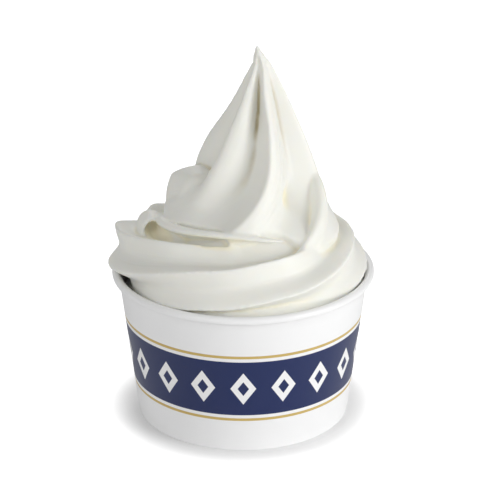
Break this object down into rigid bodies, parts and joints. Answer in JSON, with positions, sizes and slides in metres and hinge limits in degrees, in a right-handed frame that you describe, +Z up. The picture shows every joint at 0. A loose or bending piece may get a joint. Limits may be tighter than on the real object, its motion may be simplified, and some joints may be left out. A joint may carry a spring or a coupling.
{
  "type": "frozen yogurt cup",
  "caption": "Overfilled paper cup of plain frozen yogurt: a ridged rope laid round the rim and drawn up into a tall twisted peak.",
  "frame": {"origin": "on the table, under the middle of the cup", "axes": "+Z up; -Y is the front, where the peak's ridges sweep down to the left; +X is to the right"},
  "size_m": [0.0966, 0.095, 0.1399],
  "materials": {
    "cup_paper": "smooth white coated paper with a soft sheen",
    "base_paper": "white coated paper",
    "yogurt": "smooth, slightly moist, off-white frozen yogurt"
  },
  "bodies": {
    "root": {"cup_wall": "cup_paper", "cup_base": "base_paper", "frozen_yogurt": "yogurt"}
  },
  "joints": []
}
